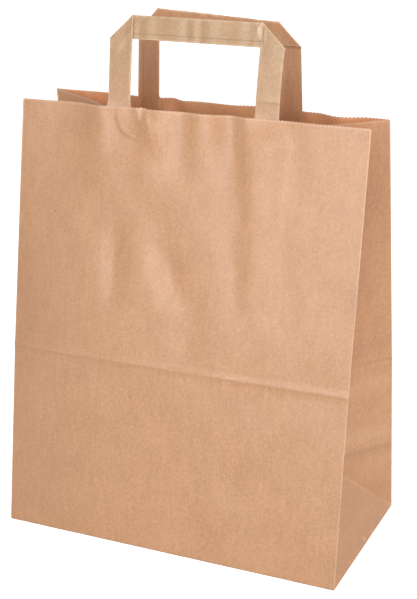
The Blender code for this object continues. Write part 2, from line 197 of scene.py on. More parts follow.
def rim_wave(side, x, height):
    """Push into the bag: a sum of bumps, each a squared cosine across and a squared cosine down."""
    push = np.zeros(np.broadcast(x, height).shape)
    for middle, half_width, depth, reach in WAVES[side]:
        across = np.minimum(np.abs(x - middle) / half_width, 1.0)
        down = np.clip((WALL_LENGTH - height) / reach, 0.0, 1.0)
        push = push + depth * (np.cos(across * np.pi / 2) * np.cos(down * np.pi / 2)) ** 2
    return push


def bump(x, height, middle, foot, half_width, half_height, turn=0.0):
    """Smooth hill: the exponential of minus the squared distances along two turned axes."""
    c, s = math.cos(turn), math.sin(turn)
    a = ((x - middle) * c + (height - foot) * s) / half_width
    b = ((height - foot) * c - (x - middle) * s) / half_height
    return np.exp(-a ** 2 - b ** 2)


def unevenness(x, height, wavelength, seed, count=14):
    """Soft random relief of about unit height: a mean of cosine waves in many directions."""
    rng = np.random.RandomState(seed)
    total = np.zeros(np.broadcast(x, height).shape)
    for direction, phase, scale in rng.uniform(0, 1, (count, 3)):
        reach = 2 * np.pi / (wavelength * (0.6 + 0.9 * scale))
        angle = direction * np.pi
        along_way = x * math.cos(angle) + height * math.sin(angle)
        total = total + np.cos(reach * along_way + phase * 2 * np.pi)
    return total / math.sqrt(count)


def cross_ridge(level):
    """Height of the cross crease: a tent over the crease's own height on the front wall."""
    distance = np.abs(paper_height(FRONT, level) - CREASE[FRONT])
    return RIDGE_HEIGHT * np.clip(1 - distance / RIDGE_HALF_WIDTH, 0, 1)


print("front wave at the middle of its dent: %.1f mm" % (rim_wave(FRONT, -0.050, WALL_LENGTH) * 1000))

# %% [markdown]
# ## What only the front wall shows
#
# The front handle has pulled long soft folds into the front wall, and between two of them the paper turns a
# little to one side. What the light shows is that turn, so each one is written as a step: a smooth change of
# height across the wall, which fades down it. A step that rises to the right looks away from the lamps and is
# dark, and a step that falls is bright. Lower down the wall has a few long hollows. Beside the left leg a thumb
# has left a dent, with one curved crease, one slanted one and a small bent corner at the rim.

# %% Steps, hollows and dent of the front wall
# Each step: place at the rim, drift to the right on the way down, half width, reach, change of height.
FRONT_STEPS = (
    (-0.135, 0.00, 0.012, 0.095, -0.0024),
    (-0.094, 0.00, 0.009, 0.105, 0.0070),
    (-0.074, 0.00, 0.007, 0.080, -0.0020),
    (-0.048, 0.10, 0.007, 0.095, 0.0027),
    (-0.019, -0.05, 0.012, 0.090, -0.0054),
    (0.003, 0.00, 0.006, 0.080, 0.0032),
    (0.027, 0.05, 0.010, 0.095, -0.0056),
    (0.045, 0.15, 0.005, 0.135, 0.0062),
    (0.084, -0.02, 0.008, 0.200, -0.0026),
    (0.103, 0.00, 0.009, 0.120, 0.0014),
)
# Each hollow: place across and up, half width and height, turn, height at its middle.
FRONT_HOLLOWS = (
    (-0.062, 0.253, 0.011, 0.032, 0.00, -0.0023),
    (-0.008, 0.250, 0.013, 0.026, 0.46, -0.0025),
    (0.050, 0.262, 0.010, 0.034, 0.10, -0.0016),
    (0.012, 0.205, 0.016, 0.030, -0.20, -0.0013),
)
# The curved crease beside the left leg: middle of its circle, across and below the rim, and radius.
DENT_MIDDLE, DENT_RADIUS = (-0.046, 0.005), 0.020
CURVED_HEIGHT, SLANTED_HEIGHT, PRESSED_DEPTH = 0.0018, 0.0019, 0.0014
# The bent corner: place across and depth of its point, steepness of its V, and how far it leans back.
CORNER_X, CORNER_DEPTH, CORNER_STEEPNESS, CORNER_LEAN = -0.0443, 0.012, 1.75, 0.40
# The pillow: height, run in from the left fold, and middle and reach up the wall.
PILLOW_HEIGHT, PILLOW_RUN, PILLOW_MIDDLE, PILLOW_REACH = 0.0042, 0.024, 0.190, 0.085


def lip(distance, soft, sharp):
    """Unit height along a crease: a slow rise on the side below 0 and a quick fall past it."""
    return np.clip(1 + distance / soft, 0, 1) ** 2 * np.clip(1 - distance / sharp, 0, 1)


def bent_corner(x, below):
    """Distance above a V at the rim, and nothing outside the V."""
    return np.clip(CORNER_DEPTH - below - CORNER_STEEPNESS * np.abs(x - CORNER_X), 0, None)


def thumb_dent(x, below):
    """Dent beside the left leg, from the distance below the rim.

    The curved crease is a lip along part of a circle, the slanted one a lip along a line. The
    bent corner is the part above a V, which leans back in proportion to its distance from it.
    """
    dx, db = x - DENT_MIDDLE[0], below - DENT_MIDDLE[1]
    around = np.clip(np.cos(np.arctan2(db, dx) - math.radians(135)), 0, 1) ** 2
    curved = CURVED_HEIGHT * around * lip(np.hypot(dx, db) - DENT_RADIUS, 0.012, 0.0030)
    along_line = np.clip(below / 0.008, 0, 1) * np.clip((0.044 - below) / 0.018, 0, 1)
    slanted = SLANTED_HEIGHT * along_line * lip(x + 0.0385 - 0.42 * (below - 0.006), 0.017, 0.0045)
    corner = CORNER_LEAN * bent_corner(x, below)
    hollow = PRESSED_DEPTH * bump(x, -below, -0.047, -0.022, 0.009, 0.016, 0.3)
    return curved + slanted - corner - hollow


def front_detail(x, height):
    """Outward relief that only the front wall shows."""
    below = WALL_LENGTH - height
    total = thumb_dent(x, below)
    share = x / BASE_WIDTH + 0.5
    for middle, drift, half_width, reach, change in FRONT_STEPS:
        fade = np.cos(np.clip(below / reach, 0, 1) * np.pi / 2) ** 2
        step = (1 + np.tanh((x - middle - drift * below) / half_width)) / 2
        total = total + change * fade * (step - share)
    for middle, foot, half_width, half_height, turn, change in FRONT_HOLLOWS:
        total = total + change * bump(x, height, middle, foot, half_width, half_height, turn)
    return total


def pillow(x, height):
    """Slight roundness, most beside the left fold and at the height of the hollows, none at the right fold."""
    left, right = x + BASE_WIDTH / 2, BASE_WIDTH / 2 - x
    window = np.exp(-((height - PILLOW_MIDDLE) / PILLOW_REACH) ** 2)
    return window * PILLOW_HEIGHT * (1 - np.exp(-left / PILLOW_RUN)) * right / BASE_WIDTH


dent_under_rim = thumb_dent(np.linspace(-0.07, -0.02, 99), 0.001)
print("deepest place of the dent: %.1f mm" % (dent_under_rim.min() * 1000))

# %% Relief of a whole wall


def wall_relief(side, x, height, level):
    """Everything that stands out of a wall, in metres, outwards positive."""
    to_corner = BASE_WIDTH / 2 - np.abs(x)
    rest = sum(
        high * unevenness(x, height, wavelength, seed + side)
        for (high, wavelength), seed in ((SLOW_UNEVEN, 11), (FINE_UNEVEN, 21))
    )
    if side == FRONT:
        rest = rest + front_detail(x, height) + pillow(x, height)
    hold = np.clip(height / 0.030, 0, 1) * np.clip(to_corner / 0.012, 0, 1)
    return cross_ridge(level) - rim_wave(side, x, height) + rest * hold


def wall_points(side, x, height):
    """Outer face of a wall. Rows are straight between the two corner folds, plus the relief."""
    level = level_of(side, height)
    start, stop = along(corner_knots(side, LEFT), level), along(corner_knots(side, RIGHT), level)
    share = (x / BASE_WIDTH + 0.5)[..., None]
    points = start + (stop - start) * share
    points[..., 1] += side * wall_relief(side, x, height, level)
    return points


test = wall_points(FRONT, np.array([0.0]), np.array([0.2]))[0]
print("front wall 200 mm up: y %.1f mm, z %.1f mm" % (test[1] * 1000, test[2] * 1000))

# %% [markdown]
# ## The gussets
#
# Each side panel is folded in half lengthways. Above the apex a half is ruled between its corner fold and
# the middle fold. Below the apex the middle of the panel is a flat triangle, hinged on the bottom edge, and
# the paper beside it still belongs to the wall. The slanted crease between the two is where the distance
# from the corner fold equals the height, so both parts are written down and one test picks between them.

# %% Points of half a gusset


def gusset_points(side, end, share, level):
    """Half a gusset: share runs from the corner fold at 0 to the middle fold at 1."""
    corner, fold = corner_knots(side, end), middle_knots(end)
    hinge = np.array((end * BASE_WIDTH / 2, 0.0, PLY_HEIGHT))
    s, v = share[..., None], level[..., None]
    upper_start, upper_stop = along(corner, level), along(fold, level, 1)
    upper = upper_start + (upper_stop - upper_start) * s
    upper[..., 1] += side * cross_ridge(level) * (1 - share)
    if side == BACK:
        upper[..., 1] += BOW[end] * np.sin(np.pi * share) * np.maximum(level - 1, 0) / 2
    paper = share * BASE_DEPTH / 2
    soft = 0.0004 * unevenness(paper, paper_height(FRONT, level), 0.060, 40 + side + 2 * end)
    upper[..., 0] += end * (soft * np.sin(np.pi * share) + 0.0010 * cross_ridge(level) / RIDGE_HEIGHT * share)
    beside = corner[0] + (corner[1] - corner[0]) * v + (fold[0] - corner[1]) * s
    triangle = corner[0] + (hinge - corner[0]) * s + (fold[0] - hinge) * v
    lower = np.where(s <= v, beside, triangle)
    return np.where(v >= 1, upper, lower)


print("apex of the right gusset: %s mm" % (middle_knots(RIGHT)[0] * 1000).round(1))

# %% [markdown]
# ## One sheet, ring by ring
#
# The sheet is a grid whose rows are rings around the bag. A narrow column on each side of a fold carries the
# pale line of the fold, partly worn paper and partly a painted highlight, and one tooth of the pinked rim
# stands on each full column. Below the apex the rows are as far apart as the gusset's columns, so the slanted
# crease runs along the cells' diagonals. One could cut the teeth with a Boolean, but a peak added over each top
# cell is exact and cheap.

# %% Rows and columns
TOOTH_PITCH = 0.0031
TOOTH_DEPTH = 0.0009
RIM_BAND = 0.003
FOLD_EDGE = 0.0007
HALF_GUSSET = BASE_DEPTH / 2


def spaced(start, stop, step):
    """Places about a step apart, with one narrow cell at each end."""
    count = max(1, round((stop - start - 2 * FOLD_EDGE) / step))
    return np.concatenate(([start], np.linspace(start + FOLD_EDGE, stop - FOLD_EDGE, count + 1), [stop]))


def evenly(start, stop, step):
    """Places about a step apart, without the first."""
    count = max(1, round((stop - start) / step))
    return np.linspace(start, stop, count + 1)[1:]


WALL_X = spaced(-BASE_WIDTH / 2, BASE_WIDTH / 2, TOOTH_PITCH)
GUSSET_C = spaced(0.0, HALF_GUSSET, TOOTH_PITCH)
# Stretch of the front wall with columns half as far apart, around the thumb dent.
CREASED = (-0.084, -0.020)
middles = (WALL_X[:-1] + WALL_X[1:]) / 2
halved = middles[(middles > CREASED[0]) & (middles < CREASED[1])]
FRONT_X = np.sort(np.concatenate((WALL_X, halved)))
row_heights = np.concatenate((
    GUSSET_C,
    evenly(HALF_GUSSET, CREASE[FRONT] - RIDGE_HALF_WIDTH, 0.0050),
    evenly(CREASE[FRONT] - RIDGE_HALF_WIDTH, CREASE[FRONT] + RIDGE_HALF_WIDTH, 0.0012),
    evenly(CREASE[FRONT] + RIDGE_HALF_WIDTH, WALL_LENGTH - 0.048, 0.0040),
    evenly(WALL_LENGTH - 0.048, WALL_LENGTH - RIM_BAND, 0.0016),
    [WALL_LENGTH - TOOTH_DEPTH],
))
row_levels = level_of(FRONT, row_heights)
print("rows %d, columns in front %d, of half a gusset %d" % (len(row_heights), len(FRONT_X), len(GUSSET_C)))

# %% Points of all the rings


def ring_points(levels):
    """Rings from the front wall over the right gusset, the back wall and the left gusset."""
    share = GUSSET_C / HALF_GUSSET
    column = levels[:, None]

    def wall(side, columns):
        x, level = np.broadcast_arrays(columns[None, :], column)
        return wall_points(side, x, paper_height(side, level))

    def half(side, end, part):
        s, level = np.broadcast_arrays(part[None, :], column)
        return gusset_points(side, end, s, level)

    return np.concatenate((
        wall(FRONT, FRONT_X), half(FRONT, RIGHT, share[1:-1]), half(BACK, RIGHT, share[:0:-1]),
        wall(BACK, WALL_X)[:, ::-1], half(BACK, LEFT, share[1:-1]), half(FRONT, LEFT, share[:0:-1]),
    ), axis=1)


rings = ring_points(row_levels)
half_cells = len(GUSSET_C) - 1
diagonal_up = np.concatenate([np.full(n, up) for n, up in (
    (len(FRONT_X) - 1, True), (half_cells, True), (half_cells, False),
    (len(WALL_X) - 1, False), (half_cells, True), (half_cells, False),
)])
gusset_steps = np.concatenate((np.diff(GUSSET_C), np.diff(GUSSET_C)[::-1]))
steps = np.concatenate((np.diff(FRONT_X), gusset_steps, np.diff(WALL_X), gusset_steps))
ring_u = np.concatenate(([0.0], np.cumsum(steps)))
print("ring of %d columns, %.0f mm round" % (rings.shape[1], ring_u[-1] * 1000))

# %% Teeth of the pinked rim
full_cell = np.diff(ring_u) > 0.75 * TOOTH_PITCH
valley = rings[-1].copy()
top_way = valley - rings[-2]
top_way /= np.linalg.norm(top_way, axis=1, keepdims=True)
peaks = (valley + np.roll(valley, -1, axis=0)) / 2 + (top_way + np.roll(top_way, -1, axis=0)) / 2 * TOOTH_DEPTH
peaks = peaks[full_cell]
at_half = np.zeros(len(valley), bool)
at_half[:len(FRONT_X)] = np.isin(FRONT_X, halved)
rings[-1][at_half] += top_way[at_half] * TOOTH_DEPTH
print("teeth: %d" % (len(peaks) + at_half.sum()))

# %% [markdown]
# ## Putting arrays into a mesh
#
# A mesh takes its vertices, corners and faces as flat arrays. One helper does that for every piece here, with
# a map of the paper's own coordinates in metres, which the finishes read, and a mask of pale lines: worn paper,
# and along the folds also a painted highlight. Edges over 25 degrees are set sharp, and so is every open edge,
# because a cut edge of paper isn't round.

# %% Mesh helper


def grid_quads(rows, cols, closed=False):
    """Four corners of each cell of a grid of points. A closed grid joins its last column to the first."""
    row, col = np.meshgrid(np.arange(rows - 1), np.arange(cols if closed else cols - 1), indexing="ij")
    here, after = row * cols + col, row * cols + (col + 1) % cols
    return np.stack((here, after, after + cols, here + cols), -1).reshape(-1, 4)


def paper_mesh(name, points, faces, corner_uv, masks, sharp_degrees=25):
    """Mesh from points, a list of face arrays with one row for each face, and a map for their corners.

    Each mask is a number for each vertex, under a name that a finish can read.
    """
    corners = np.concatenate([np.asarray(f).ravel() for f in faces])
    totals = np.concatenate([np.full(len(f), np.asarray(f).shape[1]) for f in faces])
    starts = np.concatenate(([0], np.cumsum(totals)[:-1]))
    mesh = bpy.data.meshes.new(name)
    mesh.vertices.add(len(points))
    mesh.vertices.foreach_set("co", np.asarray(points, np.float32).ravel())
    mesh.loops.add(len(corners))
    mesh.loops.foreach_set("vertex_index", corners.astype(np.int32))
    mesh.polygons.add(len(totals))
    mesh.polygons.foreach_set("loop_start", starts.astype(np.int32))
    mesh.update(calc_edges=True)
    mesh.uv_layers.new(name="paper_map").data.foreach_set("uv", np.asarray(corner_uv, np.float32).ravel())
    for mask, values in masks.items():
        mesh.attributes.new(mask, "FLOAT", "POINT").data.foreach_set("value", np.asarray(values, np.float32))
    mesh.shade_smooth()
    mesh.set_sharp_from_angle(angle=math.radians(sharp_degrees))
    edge_of_corner = np.zeros(len(corners), np.int32)
    mesh.loops.foreach_get("edge_index", edge_of_corner)
    sharp = np.zeros(len(mesh.edges), bool)
    mesh.edges.foreach_get("use_edge_sharp", sharp)
    sharp |= np.bincount(edge_of_corner, minlength=len(mesh.edges)) < 2
    mesh.edges.foreach_set("use_edge_sharp", sharp)
    return mesh


def new_piece(name, mesh, thickness=0.0, offset=-1.0):
    """Object of a mesh, which rides on the bag's one body. A thickness turns a sheet into a solid."""
    piece = bpy.data.objects.new(name, mesh)
    bpy.context.scene.collection.objects.link(piece)
    if thickness:
        solidify = piece.modifiers.new("paper thickness", "SOLIDIFY")
        solidify.thickness = thickness
        solidify.offset = offset
        solidify.use_quality_normals = True
        solidify.use_rim = True
        solidify.material_offset = 1
    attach(piece, "root")
    return piece


print("cells of a grid of 3 x 4 points: %d, closed %d" % (len(grid_quads(3, 4)), len(grid_quads(3, 4, True))))

# %% [markdown]
# ## The bag's body
#
# The faces are pairs of triangles, split along the direction that each panel needs. The last column joins
# the first, so the corners of that column take the far end of the map, and the bottom ply closes the sheet.

# %% Faces of the sheet
rows, cols = rings.shape[:2]
low_row, low_col = np.meshgrid(np.arange(rows - 2), np.arange(cols), indexing="ij")
up = np.broadcast_to(diagonal_up, low_row.shape)
a = np.stack((low_row, low_col), -1)
b, d, e = a + (0, 1), a + (1, 1), a + (1, 0)
first = np.where(up[..., None, None], np.stack((a, b, d), -2), np.stack((a, b, e), -2))
second = np.where(up[..., None, None], np.stack((a, d, e), -2), np.stack((b, d, e), -2))
grid_faces = np.concatenate((first.reshape(-1, 3, 2), second.reshape(-1, 3, 2)))

top_col = np.arange(cols)
a = np.stack((np.full(cols, rows - 2), top_col), -1)
top_cells = np.stack((a, a + (0, 1), a + (1, 1), a + (1, 0)))
peak = np.stack((np.full(len(peaks), rows), np.arange(len(peaks))), -1)
a, b, d, e = top_cells[:, full_cell]
with_peak = ((a, b, peak), (a, peak, e), (b, d, peak))
a, b, d, e = top_cells[:, ~full_cell]
toothed = np.concatenate([np.stack(t, 1) for t in (*with_peak, (a, b, d), (a, d, e))])
all_faces = np.concatenate((grid_faces, toothed))
row_of, col_of = all_faces[..., 0], all_faces[..., 1]
is_peak = row_of == rows
index = np.where(is_peak, rows * cols + col_of, row_of * cols + col_of % cols)
print("triangles in the open sheet: %d" % len(index))

# %% Map, and pale folds of wear and painted highlight
peak_u = (ring_u[:-1] + ring_u[1:])[full_cell] / 2
map_u = np.where(is_peak, peak_u[np.where(is_peak, col_of, 0)], ring_u[np.where(is_peak, 0, col_of)])
map_v = np.where(is_peak, WALL_LENGTH, row_heights[np.where(is_peak, 0, row_of)])
floor_ring = np.arange(cols)[::-1]
# The bottom has its own place on the map, off the walls' stretch of it.
FLOOR_ON_MAP = (0.16, -0.12)
floor_map = rings[0, ::-1, :2] + FLOOR_ON_MAP
corner_map = np.concatenate((np.stack((map_u, map_v), -1).reshape(-1, 2), floor_map))

fold_u = np.cumsum((0.0, BASE_WIDTH, BASE_DEPTH, BASE_WIDTH, BASE_DEPTH))
to_corner, to_middle = (np.abs(ring_u[:-1, None] - at).min(1) for at in (fold_u, fold_u[1::2] + HALF_GUSSET))
# Pale lines along the corner folds, the middle folds, the bottom edge and the slanted creases, and over the
# bent corner at the rim: worn paper, and along the folds and on the bent corner also a painted highlight.
wear_and_highlight = np.zeros((rows, cols))
wear_and_highlight[:, to_corner < 1e-6] = (0.5, 1.0, 0.6, 0.5)
wear_and_highlight[np.ix_(row_levels >= 1, to_middle < 1e-6)] = 0.5
wear_and_highlight[0] = 0.15
bent = bent_corner(FRONT_X[None, :], WALL_LENGTH - row_heights[:, None]) > 0.0005
wear_and_highlight[:, :len(FRONT_X)] = np.where(bent, 0.5, wear_and_highlight[:, :len(FRONT_X)])
gusset_share = np.where(to_middle < HALF_GUSSET + 1e-6, 1 - to_middle / HALF_GUSSET, -1)
on_slant = np.abs(gusset_share[None, :] - row_levels[:, None]) < 1e-4
wear_and_highlight[on_slant & (row_levels[:, None] <= 1)] = 0.45
cut_edge = np.zeros((rows, cols))
cut_edge[-1] = np.where(at_half, 0.7, 0.15)
print("rubbed vertices: %d" % (wear_and_highlight > 0).sum())

# %% Make the sheet
bag = new_piece(
    "bag_sheet",
    paper_mesh(
        "bag_sheet",
        np.concatenate((rings.reshape(-1, 3), peaks)),
        [index, floor_ring[None, :]],
        corner_map,
        {
            "wear_and_highlight": np.concatenate((wear_and_highlight.ravel(), np.zeros(len(peaks)))),
            "cut_edge": np.concatenate((cut_edge.ravel(), np.full(len(peaks), 0.7))),
        },
    ),
    PAPER,
)
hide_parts("bag_body")
print("bag sheet: %d vertices, %d faces" % (len(bag.data.vertices), len(bag.data.polygons)))

# %% [markdown]
# ## Where a piece lies against a wall
#
# The handles and the patches are glued to the inside of the walls, so their places are given on the sheet:
# across, along, and a depth into the bag. Above the rim there is no wall left. There the handle goes on
# along its own lean, and what it took over from the rim's waves fades out.

# %% Places on the inside of a wall
HANDLE_LEAN = math.radians(5)
WAVE_FADE = 0.045
STRIP_WIDTH = 0.0215
HANDLE_SPAN = 0.159
HANDLE_MIDDLE = {FRONT: 0.0012, BACK: 0.0040}
HANDLE_LEFT = {side: middle - HANDLE_SPAN / 2 for side, middle in HANDLE_MIDDLE.items()}
# Shift to the right of the left and the right leg: at the rim, and at the top.
HANDLE_SHIFT = {
    FRONT: ((0.0016, 0.0029), (-0.0007, 0.0024)),
    BACK: ((0.0009, 0.0060), (-0.0008, -0.0016)),
}


def inward(side):
    """Direction at right angles to the upper wall, into the bag."""
    left, right = corner_knots(side, LEFT), corner_knots(side, RIGHT)
    way = (left[3] - left[2]) + (right[3] - right[2])
    lean = math.atan2(-side * way[1], way[2])
    return np.array((0.0, -side * math.cos(lean), -math.sin(lean)))


def shifted(side, x, height):
    """Place across with the legs' shift, which goes from its value at the rim to that at the top."""
    (low_left, high_left), (low_right, high_right) = HANDLE_SHIFT[side]
    share = np.clip((x - HANDLE_MIDDLE[side]) / HANDLE_SPAN + 0.5, 0, 1)
    grown = np.clip((height - WALL_LENGTH) / 0.070, 0, 1) ** 1.2
    left = low_left + (high_left - low_left) * grown
    right = low_right + (high_right - low_right) * grown
    return x + left + (right - left) * share


def place(side, x, height, depth):
    """Points at a depth from the outer face: on the wall up to the rim, and on a leaning plane above.

    Above the rim a leg soon goes by the wall behind its own middle, so that it stands flat.
    """
    x, height, depth = np.broadcast_arrays(shifted(side, x, height), height, depth)
    above = np.maximum(0.0, height - WALL_LENGTH)
    left, right = corner_knots(side, LEFT)[3], corner_knots(side, RIGHT)[3]

    def rim_line(across):
        return left + (right - left) * (across / BASE_WIDTH + 0.5)[..., None]

    reach = (HANDLE_SPAN - STRIP_WIDTH) / 2
    middle = HANDLE_MIDDLE[side] + np.where(x < HANDLE_MIDDLE[side], -reach, reach)
    guide = middle + (x - middle) * np.clip(1 - above / 0.007, 0, 1)
    fade = np.clip(1 - above / WAVE_FADE, 0, 1)[..., None] ** 2
    waves = wall_points(side, guide, np.full(x.shape, WALL_LENGTH)) - rim_line(guide)
    free = rim_line(x) + waves * fade
    point = np.where(above[..., None] > 0, free, wall_points(side, x, np.minimum(height, WALL_LENGTH)))
    lean = np.array((0.0, -side * math.sin(HANDLE_LEAN), math.cos(HANDLE_LEAN)))
    return point + inward(side) * depth[..., None] + lean * above[..., None]


print("inward on the front wall:", inward(FRONT).round(3))

# %% [markdown]
# ## The handles
#
# A flat handle is one strip of paper, folded lengthways into several plies and then turned over at two
# corners at 45 degrees. So it is made as a profile carried along a path: the path goes up one leg, round the
# fold, along the bar and down the other leg, and the profile is the strip's cross section, with rounded edges
# and the step where the top ply ends. Two crossed plates would miss how the bar passes behind the legs. In
# use the bar's lower edge has rolled up a little, and the fold at the front handle's right corner has opened.

# %% The strip's cross section
HANDLE_RISE = {FRONT: (0.0777, 0.0778), BACK: (0.0800, 0.0752)}
LEG_TAIL = 0.066
LEG_DEPTH = PAPER + GLUE_GAP + STRIP / 2
FOLD_RADIUS = (STRIP + FOLD_GAP) / 2
PLY_STEP = 0.0052
# How far the bar's lower edge is rolled up.
BAR_CURL = 0.0014


def strip_profile():
    """Closed outline of the strip: places across in metres and heights over its middle, face by face.

    The outer face is flat. The inner face is lower up to the step, where its top ply ends. The
    edges are half circles.
    """
    half = STRIP / 2
    turn = np.linspace(0, np.pi, 5)[1:-1]
    outer_u = np.linspace(half, STRIP_WIDTH - half, 12)
    inner_u = np.concatenate((
        np.linspace(STRIP_WIDTH - half, PLY_STEP + 0.0006, 9), [PLY_STEP + 0.0001],
        [PLY_STEP - 0.0001], np.linspace(PLY_STEP - 0.0006, half, 4),
    ))
    inner_w = np.where(inner_u > PLY_STEP, half, half - 0.00022)
    across, up = half * np.sin(turn), half * np.cos(turn)
    u = np.concatenate((outer_u, STRIP_WIDTH - half + across, inner_u, half - across))
    w = np.concatenate((np.full(12, -half), -up, inner_w, up * 0.8))
    return u, w


profile_u, profile_w = strip_profile()
print("profile of %d points" % len(profile_u))

# %% The path of a handle


def leg_and_fold(side, end):
    """Cross lines of one leg from its tail to its fold: both ends' x and heights, and the fold angle.

    The outer end comes first. Up to the shoulder the lines are level, then they fan out to the 45
    degree fold, which is half a turn on a small radius.
    """
    outer = HANDLE_LEFT[side] + (0 if end == LEFT else HANDLE_SPAN)
    inner = outer - end * STRIP_WIDTH
    shoulder = WALL_LENGTH + HANDLE_RISE[side][0 if end == LEFT else 1] - STRIP_WIDTH
    glued = np.linspace(WALL_LENGTH - LEG_TAIL, WALL_LENGTH, 27)
    free = np.linspace(WALL_LENGTH, shoulder, 40)[1:]
    fan, turn = np.linspace(0, 1, 21)[1:], np.linspace(0, np.pi, 9)[1:]
    level = np.concatenate((glued, free))
    foot = np.concatenate((level, np.full(len(fan) + len(turn), shoulder)))
    head = np.concatenate((level, shoulder + fan * STRIP_WIDTH, np.full(len(turn), shoulder + STRIP_WIDTH)))
    angle = np.concatenate((np.zeros(len(level) + len(fan)), turn))
    return outer, inner, foot, head, angle


def cross_lines(side):
    """The whole path: ends of the cross lines, and the fold angle, 0 on a leg and half a turn on the bar."""
    ends = []
    for end in (LEFT, RIGHT):
        outer, inner, foot, head, angle = leg_and_fold(side, end)
        out = np.stack((np.full(len(foot), outer), foot), -1)
        inn = np.stack((np.full(len(foot), inner), head), -1)
        away = np.array((end, 1.0)) / math.sqrt(2)
        push = FOLD_RADIUS * np.sin(angle)[:, None] * away
        ends.append((out + push, inn + push, angle, np.full(len(foot), end)))
    (a0, b0, t0, e0), (a1, b1, t1, e1) = ends
    share = np.linspace(0, 1, 122)[1:-1, None]
    low, high = a0[-1] + (a1[-1] - a0[-1]) * share, b0[-1] + (b1[-1] - b0[-1]) * share
    flat = np.full(len(share), np.pi)
    return (
        np.concatenate((a0, low, a1[::-1])), np.concatenate((b0, high, b1[::-1])),
        np.concatenate((t0, flat, t1[::-1])), np.concatenate((e0, np.zeros(len(share)), e1[::-1])),
    )


print("cross lines: %d" % len(cross_lines(FRONT)[0]))

# %% Softness of a handle
# Cross ripples of the bar: height and wavelength. Slow unevenness: height and wavelength.
BAR_RIPPLE = (0.00026, 0.0190)
SLOW_STRIP = (0.00030, 0.060)
# The open fold: height over the rim, half height, reach from the leg's edge, push to the left, and depth.
OPEN_HEIGHT, OPEN_HALF, OPEN_REACH, OPEN_PUSH, OPEN_DEPTH = 0.0703, 0.0085, 0.0038, 0.0030, 0.0022


def strip_softness(x, height, side):
    """Depth that a strip gains at right angles to itself.

    The bar has cross ripples. On the front handle the fold at the left corner has a slanted
    crease, and the right leg has a cross crease a little over the rim.
    """
    up = height - WALL_LENGTH
    above, bar = np.clip(up / 0.012, 0, 1), np.clip((up - 0.040) / 0.015, 0, 1)
    turns = x * 2 * np.pi
    ripple = BAR_RIPPLE[0] * np.sin(turns / BAR_RIPPLE[1] + 1.6 * np.sin(turns / 0.053) + side)
    slow = SLOW_STRIP[0] * unevenness(x, height, SLOW_STRIP[1], 70 + side)
    total = above * (ripple * bar + slow)
    if side == FRONT:
        slant = (x + 0.0575) * 0.79 - (up - 0.0660) * 0.61
        total = total - 0.0006 * bar * lip(slant, 0.008, 0.0018) * (x < -0.040)
        total = total - 0.0005 * lip(0.0135 - up, 0.008, 0.0020) * (x > 0.050) * above
    return total


def open_fold(u, height, angle, end):
    """How far the right corner's fold stands open: a lens along the leg's inner edge, 1 at its middle."""
    tall = 1 - ((height - WALL_LENGTH - OPEN_HEIGHT) / OPEN_HALF) ** 2
    near_edge = np.clip(1 - (STRIP_WIDTH - u) / OPEN_REACH, 0, 1)
    return np.clip(tall, 0, 1) * near_edge * (angle < 0.1) * (end > 0)


def handle_points(side):
    """Grid of points, one closed profile for each cross line, with the fold angles and the open fold's lift."""
    out, inn, angle, end = cross_lines(side)
    share = profile_u[None, :, None] / STRIP_WIDTH
    flat = out[:, None, :] + (inn - out)[:, None, :] * share
    w = np.broadcast_to(profile_w[None, :], flat.shape[:2])
    turn = angle[:, None]
    depth = LEG_DEPTH + FOLD_RADIUS * (1 - np.cos(turn)) + w * np.cos(turn)
    side_push = -w * np.sin(turn) / math.sqrt(2)
    x = flat[..., 0] + side_push * end[:, None]
    height = flat[..., 1] + side_push + BAR_CURL * (1 - np.cos(turn)) / 2 * (1 - share[..., 0])
    depth = depth + strip_softness(flat[..., 0], flat[..., 1], side)
    lifted = open_fold(profile_u[None, :], height, turn, end[:, None]) * (side == FRONT)
    return place(side, x - OPEN_PUSH * lifted, height, depth - OPEN_DEPTH * lifted), angle, lifted


points = handle_points(FRONT)[0]
print("front handle top at %.1f mm" % (points[..., 2].max() * 1000))

# %% Make the handles


def steps_along(points):
    """Lengths of the steps of the middle line of a grid of profiles."""
    return np.linalg.norm(np.diff(points.mean(1), axis=0), axis=1)


def tube_mesh(name, points, masks):
    """Closed mesh over a grid of closed profiles, with a face over each end."""
    stations, around = points.shape[:2]
    quads = grid_quads(stations, around, closed=True)
    caps = [np.arange(around)[None, ::-1], (np.arange(around) + (stations - 1) * around)[None, :]]
    length = np.concatenate(([0.0], np.cumsum(steps_along(points))))
    on_map = np.stack((profile_u[quads % around], length[quads // around]), -1).reshape(-1, 2)
    corner = np.concatenate((on_map, np.zeros((2 * around, 2))))
    return paper_mesh(name, points.reshape(-1, 3), [quads] + caps, corner, masks, 35)


SIDES = {"front": FRONT, "back": BACK}
for word, side in SIDES.items():
    points, angle, lifted = handle_points(side)
    edge = np.minimum(profile_u, STRIP_WIDTH - profile_u) < STRIP * 0.6
    step = (np.abs(profile_u - PLY_STEP) < 0.0002) & (profile_w > 0)
    fold = np.abs(angle - np.pi / 2) < 1.0
    # Pale along the strip's edges, its corner folds and the open fold's lip: partly wear, partly a painted
    # highlight.
    wear_and_highlight = np.maximum(np.maximum(edge * 0.7, fold[:, None] * 0.8), np.clip(lifted * 2.5, 0, 1))
    way = 1 if side == FRONT else -1
    mesh = tube_mesh(word + "_strip", points[::way], {
        "wear_and_highlight": wear_and_highlight[::way].ravel(),
        "ply_line": np.broadcast_to(step * 1.0, points.shape[:2]).ravel(),
    })
    strip = new_piece(word + "_strip", mesh)
    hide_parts(word + "_handle")
    print(word, "handle: %d faces, %.1f mm along" % (len(mesh.polygons), steps_along(points).sum() * 1000))

# %% [markdown]
# ## The glued patches
#
# Inside, a sheet of paper covers the tails of each handle and holds them to the wall. It is flat on the wall
# and stands up over the two tails, so its section across is a line with two raised stretches that have soft
# shoulders. Thickness comes from Solidify, as for the bag.

# %% Make the patches
PATCH_DROP = 0.026
PATCH_HEIGHT = 0.050
PATCH_MARGIN = 0.010
PATCH_ROWS, PATCH_COLUMNS = 21, 240


